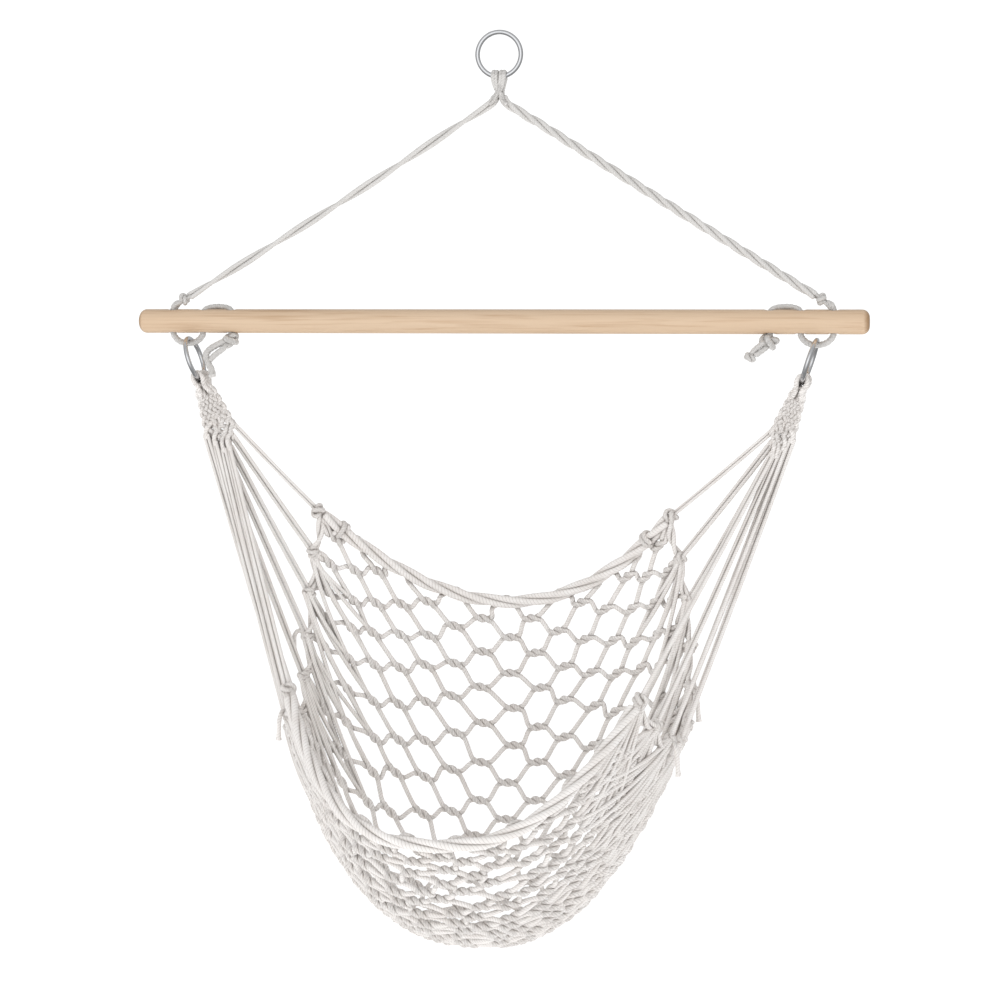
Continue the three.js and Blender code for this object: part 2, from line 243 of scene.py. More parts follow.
def joined(name, tubes, material, body):
    """One piece from several cord meshes."""
    points, faces, uvs, offset = [], [], [], 0
    for tube_points, quads, uv in tubes:
        points.append(tube_points)
        faces += (quads + offset).tolist()
        uvs.append(uv.reshape(-1, 2))
        first = list(range(offset + ROUND - 1, offset - 1, -1))
        last_ring = offset + len(tube_points) - ROUND
        faces += [first, list(range(last_ring, last_ring + ROUND))]
        uvs.append(np.zeros((2 * ROUND, 2)))
        offset += len(tube_points)
    mesh = bpy.data.meshes.new(name)
    mesh.from_pydata((np.vstack(points) * MM).tolist(), [], faces)
    layer = mesh.uv_layers.new(name="lay")
    layer.data.foreach_set("uv", np.vstack(uvs).astype(np.float32).ravel())
    return placed(name, mesh, material, body)


def net_piece(name, tubes):
    return joined(name, tubes, NET_COTTON, "seat")


def bridle_piece(name, tubes, body="hanger"):
    return joined(name, tubes, BRIDLE_COTTON, body)


def turned(points, centre, axis, roll=0.0):
    """Points made round the Z axis, moved to a centre with that axis turned to a direction."""
    w = unit(np.asarray(axis, float))
    u = unit(np.cross((0.0, 1.0, 0.0) if abs(w[1]) < 0.9 else (1.0, 0.0, 0.0), w))
    v = np.cross(w, u)
    c, s = math.cos(roll), math.sin(roll)
    return (np.asarray(centre, float) + np.outer(points[:, 0], c * u + s * v)
            + np.outer(points[:, 1], c * v - s * u) + np.outer(points[:, 2], w))


def knot(centre, axis, cord, ring, tube, squash=1.0, roll=0.0):
    """An overhand knot drawn tight: a cord twice round the axis that crosses itself three times."""
    t = np.linspace(0, 2 * math.pi, 120)
    wide = ring + tube * np.cos(3 * t)
    path = np.stack([wide * np.cos(2 * t), wide * np.sin(2 * t), -squash * tube * np.sin(3 * t)], 1)
    return laid(evenly(turned(path, centre, axis, roll), KNOT_STEP), cord, phase=roll)


def coil(centre, axis, cord, radius, turns, roll=0.0):
    """A cord wound a few turns round an axis, each turn hard against the one before."""
    t = np.linspace(0, 1, int(40 * turns))
    angle = 2 * math.pi * turns * t
    path = np.stack([radius * np.cos(angle), radius * np.sin(angle), 1.75 * cord * turns * (t - 0.5)], 1)
    return laid(evenly(turned(path, centre, axis, roll), KNOT_STEP), cord, phase=roll)


# ---------- materials ----------
def new_material(name):
    material = bpy.data.materials.new(name)
    material.use_nodes = True
    nodes, links = material.node_tree.nodes, material.node_tree.links
    return material, nodes, links, nodes["Principled BSDF"]


def set_values(node, values):
    for socket, value in values.items():
        node.inputs[socket].default_value = value


def maths(nodes, links, operation, a, b=None):
    node = nodes.new("ShaderNodeMath")
    node.operation = operation
    for socket, value in zip(node.inputs, (a, b)):
        if isinstance(value, (int, float)):
            socket.default_value = value
        elif value is not None:
            links.new(value, socket)
    return node.outputs[0]


def ranged(nodes, links, value, low, high):
    """A value brought from the range low to high to 0 to 1."""
    node = nodes.new("ShaderNodeMapRange")
    set_values(node, {"From Min": low, "From Max": high})
    links.new(value, node.inputs["Value"])
    return node.outputs[0]


def noise(nodes, links, place, scale, detail, **more):
    """Soft noise over a place; more gives further sockets' values."""
    node = nodes.new("ShaderNodeTexNoise")
    set_values(node, {"Scale": scale, "Detail": detail, **more})
    links.new(place, node.inputs["Vector"])
    return node.outputs["Fac"]


def rough_up(nodes, links, shader, height, strength, depth):
    """Small relief on a shader; the depth is in metres."""
    bump = nodes.new("ShaderNodeBump")
    set_values(bump, {"Strength": strength, "Distance": depth})
    links.new(height, bump.inputs["Height"])
    links.new(bump.outputs[0], shader.inputs["Normal"])


def blend_colours(nodes, links, factor, a, b, mode="MIX"):
    node = nodes.new("ShaderNodeMix")
    node.data_type = "RGBA"
    node.blend_type = mode
    if isinstance(factor, float):
        node.inputs[0].default_value = factor
    else:
        links.new(factor, node.inputs[0])
    for socket, value in ((node.inputs[6], a), (node.inputs[7], b)):
        if isinstance(value, tuple):
            socket.default_value = (*value, 1)
        else:
            links.new(value, socket)
    return node.outputs[2]


YARNS = 15  # seen round a cord
FUZZ_SCALE = 520  # of the noise that stands for fuzz
PATCH_SCALE = 26  # of the noise that stands for uneven colour
CREVICE_REACH = 0.007  # how near another cord shades this one, in metres


def cotton(name, light, dark, groove_shade, groove_shade_width):
    """Undyed cotton cord: soft strands with painted shade in the grooves and where cords touch, fine yarns
    and a little fuzz.
    """
    material, nodes, links, shader = new_material(name)
    lay = nodes.new("ShaderNodeUVMap")
    lay.uv_map = "lay"
    parts = nodes.new("ShaderNodeSeparateXYZ")
    links.new(lay.outputs[0], parts.inputs[0])
    around, lengthwise = parts.outputs[0], parts.outputs[1]
    place = nodes.new("ShaderNodeTexCoord").outputs["Object"]
    # 1 on the crown of a strand and 0 in the groove beside it
    crown = maths(nodes, links, "ABSOLUTE", maths(
        nodes, links, "COSINE", maths(nodes, links, "MULTIPLY", around, STRANDS * math.pi)))
    # yarns lie along the cord, so they cross the strands at the lay angle
    straight = maths(nodes, links, "ADD", around, maths(nodes, links, "DIVIDE", lengthwise, LAY))
    yarns = maths(nodes, links, "SINE", maths(nodes, links, "MULTIPLY", straight, 2 * math.pi * YARNS))
    fuzz = noise(nodes, links, place, FUZZ_SCALE, 3)
    patches = noise(nodes, links, place, PATCH_SCALE, 4, Roughness=0.65)
    base = blend_colours(nodes, links, ranged(nodes, links, patches, 0.35, 0.68), light, dark)
    # painted shade: the colour darkens towards the groove colour in the groove between strands
    shade = ranged(nodes, links, crown, 0.0, groove_shade_width)
    groove_shaded_colour = blend_colours(nodes, links, shade, groove_shade, base)
    # painted shade: the colour darkens towards a still darker crevice colour where other cords come near,
    # as an ambient occlusion node finds
    open_air = nodes.new("ShaderNodeAmbientOcclusion")
    open_air.samples = 6
    open_air.inputs["Distance"].default_value = CREVICE_REACH
    reach = maths(nodes, links, "POWER", open_air.outputs["AO"], 1.1)
    crevice_shade = tuple(0.8 * part for part in groove_shade)
    links.new(blend_colours(nodes, links, reach, crevice_shade, groove_shaded_colour), shader.inputs["Base Color"])
    height = maths(nodes, links, "ADD", maths(nodes, links, "MULTIPLY", yarns, 0.35),
                   maths(nodes, links, "MULTIPLY", fuzz, 1.1))
    rough_up(nodes, links, shader, height, 0.35, 0.0002)
    set_values(shader, {"Roughness": 0.92, "Specular IOR Level": 0.25,
                        "Sheen Weight": 0.25, "Sheen Roughness": 0.45})
    return material


PALE_WOOD, BLUSHED_WOOD = (0.75, 0.575, 0.415), (0.685, 0.49, 0.325)
LATE_WOOD, FINE_GRAIN, END_GRAIN = (0.45, 0.26, 0.13), (0.64, 0.46, 0.29), (0.40, 0.24, 0.12)


def pine():
    """Varnished pine dowel: straight streaks of late wood along it, with end grain at the ends."""
    material, nodes, links, shader = new_material("pine")
    place = nodes.new("ShaderNodeTexCoord").outputs["Object"]

    def streaks(scale, detail, distortion=0.0):
        mapping = nodes.new("ShaderNodeMapping")
        mapping.inputs["Scale"].default_value = scale
        links.new(place, mapping.inputs["Vector"])
        return noise(nodes, links, mapping.outputs[0], 1.0, detail, Distortion=distortion)

    broad = streaks((9, 330, 330), 3, 0.4)
    fine = streaks((30, 1300, 1300), 2)
    blush = streaks((3, 60, 60), 3)
    late = ranged(nodes, links, broad, 0.5, 0.72)
    pale = blend_colours(nodes, links, blush, PALE_WOOD, BLUSHED_WOOD)
    wood = blend_colours(nodes, links, maths(nodes, links, "MULTIPLY", late, 0.55), pale, LATE_WOOD)
    grained = blend_colours(nodes, links, maths(nodes, links, "MULTIPLY", fine, 0.3), wood, FINE_GRAIN)
    # end grain, where the surface faces along the bar, is darker
    facing = nodes.new("ShaderNodeSeparateXYZ")
    links.new(nodes.new("ShaderNodeNewGeometry").outputs["Normal"], facing.inputs[0])
    end = ranged(nodes, links, maths(nodes, links, "ABSOLUTE", facing.outputs[0]), 0.35, 0.9)
    links.new(blend_colours(nodes, links, end, grained, END_GRAIN), shader.inputs["Base Color"])
    rough_up(nodes, links, shader, maths(nodes, links, "ADD", broad, fine), 0.2, 0.0003)
    set_values(shader, {"Roughness": 0.42, "Coat Weight": 0.25, "Coat Roughness": 0.3})
    return material


def plated():
    """Bright plated steel wire with faint draw marks."""
    material, nodes, links, shader = new_material("plated_steel")
    marks = noise(nodes, links, nodes.new("ShaderNodeTexCoord").outputs["Object"], 320, 3)
    rough = nodes.new("ShaderNodeMapRange")
    set_values(rough, {"To Min": 0.10, "To Max": 0.26})
    links.new(marks, rough.inputs["Value"])
    links.new(rough.outputs[0], shader.inputs["Roughness"])
    rough_up(nodes, links, shader, marks, 0.08, 0.0001)
    set_values(shader, {"Base Color": (0.76, 0.77, 0.79, 1), "Metallic": 1.0})
    return material


# the groove colours given here are painted shade for the grooves between strands
BRIDLE_COTTON = cotton("bridle_cotton", light=(0.73, 0.715, 0.70), dark=(0.67, 0.655, 0.635),
                       groove_shade=(0.55, 0.525, 0.50), groove_shade_width=0.25)
NET_COTTON = cotton("net_cotton", light=(0.94, 0.915, 0.895), dark=(0.86, 0.82, 0.79),
                    groove_shade=(0.52, 0.475, 0.44), groove_shade_width=0.24)
PINE = pine()
PLATED = plated()


# ---------- camera, light and floor, in metres ----------
AIM = (0.001, 0.0, -0.573)
CAMERA_DISTANCE = 3.5
LENS = 101.6
LIT = (0, 0, -0.6)  # where the lights face
FLOOR_Z = -1.75
FLOOR_HALF = 30.0


def make_camera():
    """The whole chair from a little to the sitter's left of the front, level with the bar."""
    azimuth, elevation = math.radians(12), math.radians(4)
    back = np.array([math.sin(azimuth) * math.cos(elevation),
                     -math.cos(azimuth) * math.cos(elevation), math.sin(elevation)])
    data = bpy.data.cameras.new("camera")
    data.sensor_width = 36
    data.lens = LENS
    camera = bpy.data.objects.new("camera", data)
    camera.location = np.array(AIM) + CAMERA_DISTANCE * back
    camera.rotation_euler = (math.pi / 2 - elevation, 0, azimuth)
    bpy.context.scene.collection.objects.link(camera)
    bpy.context.scene.camera = camera


def make_area_light(name, place, size, power):
    """A round soft light that faces the chair."""
    data = bpy.data.lights.new(name, "AREA")
    data.shape = "DISK"
    data.size = size
    data.energy = power
    light = bpy.data.objects.new(name, data)
    light.location = place
    direction = np.array(LIT) - np.array(place)
    light.rotation_euler = (math.acos(-direction[2] / np.linalg.norm(direction)), 0,
                            math.atan2(direction[1], direction[0]) + math.pi / 2)
    bpy.context.scene.collection.objects.link(light)


def ramp(nodes, links, value, stops):
    """A smooth grey ramp over a value from -1 to 1."""
    made = nodes.new("ShaderNodeValToRGB")
    made.color_ramp.interpolation = "EASE"
    while len(made.color_ramp.elements) < len(stops):
        made.color_ramp.elements.new(0.5)
    for element, (place, grey) in zip(made.color_ramp.elements, stops):
        element.position = place
        element.color = (grey, grey, grey, 1)
    links.new(ranged(nodes, links, value, -1, 1), made.inputs[0])
    return made.outputs[0]


def make_world():
    """A white surround; what the metal mirrors is bright in front and dark to the sides and behind."""
    world = bpy.data.worlds.new("studio")
    world.use_nodes = True
    nodes, links = world.node_tree.nodes, world.node_tree.links
    way = nodes.new("ShaderNodeSeparateXYZ")
    links.new(nodes.new("ShaderNodeTexCoord").outputs["Generated"], way.inputs[0])
    soft = ramp(nodes, links, way.outputs[2], ((0.0, 0.31), (0.4, 0.54), (0.55, 0.95), (1.0, 1.18)))
    frontal = ramp(nodes, links, way.outputs[1], ((0.0, 1.0), (0.3, 0.85), (0.55, 0.4), (1.0, 0.25)))
    soft = blend_colours(nodes, links, 1.0, soft, frontal, "MULTIPLY")
    bands = ((0.0, 1.5), (0.05, 1.05), (0.13, 0.6), (0.3, 0.46), (0.5, 0.5), (0.7, 0.3), (1.0, 0.55))
    mirrored = ramp(nodes, links, way.outputs[1], bands)
    above = ramp(nodes, links, way.outputs[2], ((0.0, 0.55), (0.45, 0.8), (1.0, 1.0)))
    mirrored = blend_colours(nodes, links, 1.0, mirrored, above, "MULTIPLY")
    rays = nodes.new("ShaderNodeLightPath")
    surround = blend_colours(nodes, links, rays.outputs["Is Glossy Ray"], soft, mirrored)
    lit = nodes["Background"]
    links.new(surround, lit.inputs["Color"])
    lit.inputs["Strength"].default_value = 1.08
    seen = nodes.new("ShaderNodeBackground")
    set_values(seen, {"Color": (1, 1, 1, 1), "Strength": 1.1})
    mix = nodes.new("ShaderNodeMixShader")
    links.new(rays.outputs["Is Camera Ray"], mix.inputs[0])
    links.new(lit.outputs[0], mix.inputs[1])
    links.new(seen.outputs[0], mix.inputs[2])
    links.new(mix.outputs[0], nodes["World Output"].inputs["Surface"])
    bpy.context.scene.world = world


def make_floor():
    """A plain white floor below the chair, which the rings don't mirror."""
    material, _, _, shader = new_material("floor_white")
    set_values(shader, {"Base Color": (0.9, 0.9, 0.9, 1), "Roughness": 1.0,
                        "Emission Color": (1, 1, 1, 1), "Emission Strength": 0.58})
    mesh = bpy.data.meshes.new("floor")
    corners = [(x * FLOOR_HALF, y * FLOOR_HALF, FLOOR_Z) for x, y in ((-1, -1), (1, -1), (1, 1), (-1, 1))]
    mesh.from_pydata(corners, [], [(0, 1, 2, 3)])
    mesh.materials.append(material)
    floor = bpy.data.objects.new("floor", mesh)
    bpy.context.scene.collection.objects.link(floor)
    floor.visible_glossy = False


# ---------- routes, as in the CAD part ----------
def leg_path(side):
    """A bridle leg from the hitch down to the knot above the bar."""
    return through([(side * 5, 0, NECK_Z - 1.2), (side * 8, 0, NECK_Z - 6), (side * 60, 0, -116),
                    (side * 170, 0, -185), (BAR_X / 2 + side * 290, 0, -258),
                    (BAR_X + side * 393.5, 0, -320)])


def lashing_path(side):
    """Down the outer hole, round under the bar, up the middle hole, over the bar and down the inner one."""
    top, bottom = BAR_Z + BAR_RADIUS, BAR_Z - BAR_RADIUS
    outer, middle, inner = HOLES
    loop_mid, bridge_mid = (outer + middle) / 2, (middle + inner) / 2

    def at(from_middle, z, y=0):
        return (BAR_X + side * from_middle, y, z)

    points = [at(410, -329), at(414.5, -332), at(outer, top - 3), at(outer, BAR_Z), at(outer, bottom + 3)]
    for angle in (20, 55, 90, 125, 160):
        turn = math.radians(angle)
        points.append(at(loop_mid + 20 * math.cos(turn),
                         bottom + 2 - (bottom + 2 - LOOP_Z) * math.sin(turn)))
    points += [at(middle, bottom + 3), at(middle, BAR_Z), at(middle, top - 5)]
    for angle in (30, 60, 90, 120, 150):
        turn = math.radians(angle)
        z = top - 5 + (BRIDGE_Z - top + 5) * math.sin(turn) ** 0.8
        points.append(at(bridge_mid + 18.5 * math.cos(turn), z, BRIDGE_LEAN * math.sin(turn)))
    points += [at(inner, top - 5), at(inner, BAR_Z), at(inner, bottom - GAP)]
    return through(points)


def side_ring_centre(side):
    top = LOOP_Z + LASHING + WIRE + GAP
    return np.array([BAR_X + side * ((HOLES[0] + HOLES[1]) / 2 - RING_MEAN * math.sin(RING_TILT)), 0.0,
                     top - RING_MEAN * math.cos(RING_TILT)])


def head_point(side, lateral, along, y=0.0):
    """A place on a clew head: lateral is towards the seat, along runs down from the ring's lower wire."""
    centre = side_ring_centre(side)
    foot = centre - RING_MEAN * np.array([side * math.sin(RING_TILT), 0, math.cos(RING_TILT)])
    return np.array([
        foot[0] - side * (along * math.sin(HEAD_TILT) + lateral * math.cos(HEAD_TILT)), y,
        foot[2] - along * math.cos(HEAD_TILT) + lateral * math.sin(HEAD_TILT)])


def clew_start(k):
    """Where cord k leaves its head: lateral, along and y."""
    in_back = k < BACK_CORDS
    pitch = 2 * HEAD_HALF / (BACK_CORDS - 1)
    lateral = HEAD_HALF - pitch * k if in_back else -HEAD_HALF + pitch * (k - BACK_CORDS)
    fall = 1 - abs(lateral) / HEAD_HALF
    return lateral, HEAD_SHOULDER + 12 + fall * (HEAD_TIP - HEAD_SHOULDER - 5), 3.5 if in_back else -3.5


def clew_path(side, k):
    """Cord k from its head to the knot at the seat's edge, with a slight sag."""
    lateral, along, y = clew_start(k)
    start = head_point(side, lateral, along, y)
    end = seat(side, k / LAST_CLEW)[0]
    reach = end - start
    last = end - CORD * unit(reach)
    points = []
    for t in (0, 0.25, 0.5, 0.75, 1):
        p = start + t * (last - start)
        p[2] -= CLEW_SAG * np.linalg.norm(reach) * 4 * t * (1 - t)
        points.append(p)
    return through(points)


def edge_path(v):
    return through(seat(np.linspace(-0.955, 0.955, 13), v))


def tail_path(side, v, outward, length):
    """The hanging stretch of a cut end at the seat's edge."""
    p = seat(side, v)[0]
    x = p[0] + side * outward
    return through([(x, p[1] - 4, p[2] - 8), (x + side, p[1] - 5, p[2] - 8 - length / 2),
                    (x + side * 2, p[1] - 4, p[2] - 8 - length)])


# ---------- bridle ----------
PLY = {"left": 2.8, "right": 2.95}  # radius of one ply of a bridle leg
PLY_REACH = {"left": 2.7, "right": 3.0}  # of its centre from the leg's own
PLY_COUNT = {"left": 2, "right": 3}  # the left leg has come partly undone
BRIDLE_VALLEY = 0.07  # the bridle's cords are smoother than the net's
LEG_PITCH = {"left": 190.0, "right": 84.0}  # length of one turn of the plies round each other
HITCH_CORD, CROSSING_CORD, STUB_CORD = 3.0, 2.2, 1.9  # radii round the wire, in front and of the cut end


def make_legs():
    """The two legs, whose cords are laid loosely round each other."""
    for word, side in SIDES.items():
        path = leg_path(side)
        lain = plies(path, PLY_COUNT[word], PLY_REACH[word], LEG_PITCH[word] * side, phase=-0.3)
        tubes = [laid(evenly(p), PLY[word], valley=BRIDLE_VALLEY) for p in lain]
        leg = bridle_piece(f"bridle_rope_{word}", tubes)
        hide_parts(f"bridle_leg_{word}")


def make_leg_knots():
    """The overhand knot at the foot of each leg, and the doubled end that goes on into the bar."""
    for word, side in SIDES.items():
        centre = np.array([BAR_X + side * 402, 0, -324.5])
        axis = np.array([side * 0.84, 0, -0.54])
        route = through([centre - 9 * axis, centre, (BAR_X + side * 410, 0, -330.5),
                         (BAR_X + side * 415, 0, -335.5), (BAR_X + side * 417, 0, -342)])
        tubes = [knot(centre, axis, 2.9, 3.4, 2.4, roll=0.4 * side)]
        tubes += [laid(evenly(p), 2.5) for p in plies(route, 2, 2.4, 90.0, phase=0.5)]
        piece = bridle_piece(f"leg_knot_rope_{word}", tubes)
        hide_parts(f"leg_knot_{word}")


def make_hitch():
    """Two doubled turns of the bridle over the ring's wire that cross in front and part into the legs."""
    wire_z = -2 * RING_MEAN + WIRE
    tubes = []
    for way in (-1, 1):
        x = way * 4.7
        for lane in (-1, 1):
            at = x + 1.7 * lane
            lean = 0.9 * lane
            path = [(-way * 5.5, -2.2 + lean, NECK_Z - 3.5), (-way * 3.4 + lean, -4.2, NECK_Z + 1),
                    (0.25 * at, -5.6 + 0.9 * way, NECK_Z + 8), (0.8 * at, -5.9, wire_z - 8),
                    (at, -5.9, wire_z - 1.5), (at, -4.3, wire_z + 4.3), (at, 0, wire_z + 5.9),
                    (at, 4.3, wire_z + 4.3), (at, 5.9, wire_z - 1.5), (0.8 * at, 5.6, wire_z - 8),
                    (0.5 * at, 4.4, NECK_Z + 8), (way * 2.8 + lean, 3.2, NECK_Z + 1),
                    (way * 5.5, 1.8 + lean, NECK_Z - 3.5)]
            tubes.append(laid(through(path), HITCH_CORD, valley=BRIDLE_VALLEY, phase=at))
    for way, front in ((1, -7.6), (-1, -5.8)):
        crossing = through([(way * 4, -5.5, NECK_Z + 17), (way * 1.5, front - 0.6, NECK_Z + 9),
                            (-way * 2.2, front, NECK_Z + 1), (-way * 6.5, -4.5, NECK_Z - 5),
                            (-way * 11, -2.5, NECK_Z - 8.5)])
        tubes.append(laid(crossing, CROSSING_CORD, valley=BRIDLE_VALLEY, phase=way))
    stub = through([(1, -4, NECK_Z + 1), (4.0, -6.2, NECK_Z - 4), (9.5, -6.6, NECK_Z - 8.5)])
    tubes.append(laid(stub, STUB_CORD, frayed=(0, 0.5)))
    piece = bridle_piece("hitch_rope", tubes, "hitch")
    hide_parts("ring_hitch")


def make_lashings():
    """The single cord that laces each end of the bar to its side ring."""
    for word, side in SIDES.items():
        path = lashing_path(side)
        lashing = bridle_piece(f"lashing_rope_{word}", [laid(path, LASHING + 0.5, pitch=16)])
        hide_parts(f"bar_lashing_{word}")


ENDS_LAY = 17.0  # of the ends left hanging from the stopper knots
# the long end and the short one below each inner hole, with x from the hole
STOPPER_ENDS = {
    "left": ([(-4, -8, -376), (-12, -11, -380), (-24, -13, -387), (-29, -15, -394),
              (-26, -16, -404), (-22, -16, -412), (-20.5, -16, -419)],
             [(-2, -7, -379), (-8, -12, -387), (-17, -14, -394), (-23, -15, -400)]),
    "right": ([(-3, -8, -376), (-10, -11, -380), (-18, -12, -387), (-22, -12, -393)],
              [(-1, -7, -381), (-8, -11, -387), (-15, -13, -392)])}


def make_stoppers():
    """The knot below each inner hole that stops the lashing, and the doubled end left hanging from it."""
    cord = LASHING + 0.35
    for word, side in SIDES.items():
        hole = BAR_X + side * HOLES[2]
        centre = np.array([hole, -4.0, BAR_Z - BAR_RADIUS - 9.0])
        tubes = [knot(centre, (side * 0.35, -0.25, 1.0), cord, 5.6, 3.7, squash=1.3, roll=0.9),
                 laid(through([(hole, 0, BAR_Z - 8), (hole, -1, BAR_Z - BAR_RADIUS), tuple(centre)]), cord)]
        piece = bridle_piece(f"stopper_knot_rope_{word}", tubes)
        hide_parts(f"stopper_knot_{word}")
        long_end, short_end = (through(np.add(end, (hole, 0, 0))) for end in STOPPER_ENDS[word])
        if word == "left":
            tubes = [laid(long_end, cord + 0.4, pitch=ENDS_LAY, frayed=(0, 0.35)),
                     laid(short_end, cord, pitch=ENDS_LAY)]
        else:
            tubes = [laid(end, cord - 0.4, pitch=ENDS_LAY) for end in (long_end, short_end)]
            tubes.append(knot((hole - 23, -12, -395), (0.6, 0.1, 1), 2.7, 3.4, 2.2))
        piece = bridle_piece(f"stopper_tail_rope_{word}", tubes)
        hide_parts(f"stopper_tail_{word}")


# ---------- bar and rings ----------
def mesh_piece(name, points, faces, material, body):
    mesh = bpy.data.meshes.new(name)
    mesh.from_pydata([tuple(p) for p in np.asarray(points, float) * MM], [], faces)
    return placed(name, mesh, material, body)


def lathe(profile, sides):
    """Points and faces of a profile of (radius, height) turned round Z, closed at both ends."""
    angle = 2 * math.pi * np.arange(sides) / sides
    points = [(r * math.cos(a), r * math.sin(a), z) for r, z in profile for a in angle]
    faces = [(k * sides + j, k * sides + (j + 1) % sides,
              (k + 1) * sides + (j + 1) % sides, (k + 1) * sides + j)
             for k in range(len(profile) - 1) for j in range(sides)]
    last = (len(profile) - 1) * sides
    faces += [tuple(range(sides - 1, -1, -1)), tuple(range(last, last + sides))]
    return np.array(points), faces


def make_bar():
    """The turned pine bar with its six cord holes, their mouths eased."""
    corners, rings = 10, 60
    half = BAR_LENGTH / 2
    quarter = [math.pi / 2 * k / corners for k in range(corners + 1)]
    start = [(BAR_RADIUS - BAR_ROUND + BAR_ROUND * math.sin(a), -half + BAR_ROUND - BAR_ROUND * math.cos(a))
             for a in quarter]
    steps = [(BAR_RADIUS, -half + BAR_ROUND + (BAR_LENGTH - 2 * BAR_ROUND) * k / rings)
             for k in range(1, rings)]
    profile = start + steps + [(r, -z) for r, z in reversed(start)]
    points, faces = lathe(profile, 72)
    points = np.stack([points[:, 2] + BAR_X, points[:, 0], points[:, 1] + BAR_Z], 1)
    bar = mesh_piece("turned_bar", points, faces, PINE, "hanger")
    upper = [(HOLE_RADIUS, BAR_RADIUS - FLARE_DEPTH), (HOLE_RADIUS + 1.2, BAR_RADIUS - 2.2),
             (FLARE_RADIUS, BAR_RADIUS + 0.6), (FLARE_RADIUS, 20)]
    drill = [(r, -z) for r, z in reversed(upper)] + upper
    cutters = []
    for side in SIDES.values():
        for x in HOLES:
            points, faces = lathe(drill, 32)
            cutters.append(mesh_piece(f"drill_{len(cutters)}", points + (BAR_X + side * x, 0, BAR_Z), faces,
                                      PINE, None))
    for cutter in cutters:
        cut = bar.modifiers.new(cutter.name, "BOOLEAN")
        cut.operation = "DIFFERENCE"
        cut.object = cutter
        cut.solver = "EXACT"
    bpy.context.view_layer.update()
    graph = bpy.context.evaluated_depsgraph_get()
    drilled = bpy.data.meshes.new_from_object(bar.evaluated_get(graph))
    bar.modifiers.clear()
    bar.data = drilled
    for cutter in cutters:
        bpy.data.objects.remove(cutter)
    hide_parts("spreader_bar")


WIRE_STOUTER = 0.35  # how much thicker a ring's wire is than the CAD's


def make_ring(name, centre, along, up, body, node):
    """A ring of round wire in the plane of two directions, with a small weld bead."""
    major, minor = 96, 24
    a = 2 * math.pi * np.arange(major) / major
    b = 2 * math.pi * np.arange(minor) / minor
    weld, weld_height, weld_width, uneven = 2.0, 0.22, 0.045, 0.03
    from_weld = np.angle(np.exp(1j * (a - weld)))
    bead = weld_height * np.exp(-((from_weld / weld_width) ** 2)) + uneven * np.sin(3 * a)
    radial = np.outer(np.cos(a), along) + np.outer(np.sin(a), up)
    out = np.cross(along, up)
    wire = WIRE + WIRE_STOUTER + bead
    points = (np.asarray(centre)[None, None]
              + radial[:, None] * (RING_MEAN - WIRE_STOUTER + wire[:, None] * np.cos(b))[..., None]
              + out[None, None] * (wire[:, None] * np.sin(b))[..., None])
    faces = [(k * minor + j, ((k + 1) % major) * minor + j, ((k + 1) % major) * minor + (j + 1) % minor,
              k * minor + (j + 1) % minor) for k in range(major) for j in range(minor)]
    piece = mesh_piece(name, points.reshape(-1, 3), faces, PLATED, body)
    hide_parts(node)


def make_rings():
    x, y, z = np.eye(3)
    make_ring("hanging_ring", (0, 0, WIRE - RING_MEAN), x, z, "ring", "top_ring")
    for word, side in SIDES.items():
        up = np.array([side * math.sin(RING_TILT), 0, math.cos(RING_TILT)])
        make_ring(f"clew_ring_{word}", side_ring_centre(side), y, up,
                  f"side_ring_{word}", f"side_ring_{word}")


# ---------- clews ----------
HEAD_SQUEEZE = {-1: 0.95, 1: 0.68}  # width of each plaited head beside the widest it can be
BRAID_TOP = 9.0  # where the plaiting starts, below the ring's wire
BRAID_PERIOD = 118.0  # length in which a strand goes from one edge to the other and back
BRAID_DEPTH = 2.4  # how far a strand goes to the front or the back as it weaves
BRAID_START = 0.025
LOOP_PLACES = (0.0, -6.4, 6.4, -12.8, 12.8)  # along the ring's wire
LOOP_OVER = ((6.2, 0), (4.4, 4.4), (0, 6.4), (-4.4, 4.4), (-6.2, 0))  # lateral and up, over the wire
HEAD_CORD = CORD + 0.25  # radius of a plaited cord
HEAD_STEP = 3.0  # between the places worked out for a strand
NECK_HALF = 9.0  # half the width that the plait narrows to at the ring's wire
BESIDE_WIRE = 6.1  # from a head's middle to a strand beside the wire
DRAWN_IN, DRAWN_BY = 1.5, 7.0  # how much closer strands come below the wire, and by where
PART_FROM, PART_IN = 4.0, 11.0  # where they part to the plait's width, and in what length
WEAVE_FROM, WEAVE_IN = 3.0, 24.0  # the same for their weave to the front and back
LEAVE_IN = 24.0  # length in which a strand leaves the plait for the fan
MATCHED = 78.0  # where each strand is given the fan cord nearest to it
# strands that fill each head: their share of its half width, and their place along the ring's wire
CORE_PLACES = ((-0.66, -10.0), (-0.22, -3.3), (0.22, 3.3), (0.66, 10.0))
CORE_ALONG = (5.6, 12, 20, 30, 42, 54, 64)
CORE_WIDENS = 16.0  # where they have reached their share
CORE_FLATTENS = 30.0  # where they lie midway between front and back
# plies of a fan cord: their radius, and how far their centres are from the cord's own
FAN_PLY, FAN_REACH = 2.5, 2.45
THIN_PLY, THIN_REACH = 1.9, 1.75  # of the cord to a back corner
FAN_LAY = 9.0  # of a ply's strands
FAN_TURN, FAN_TURN_MORE = 1500.0, 90.0  # of the plies round each other, and more for each next cord
FAN_ROLL = 0.3


def fan_path(side, k):
    """A cord from its place at the bottom of the plaited head to the net."""
    path = clew_path(side, k)
    lateral, along, y = clew_start(k)
    shift = head_point(side, lateral * HEAD_SQUEEZE[side], along, y) - path[0]
    fade = np.linspace(1, 0, len(path))[:, None]
    return evenly(path + shift * fade)


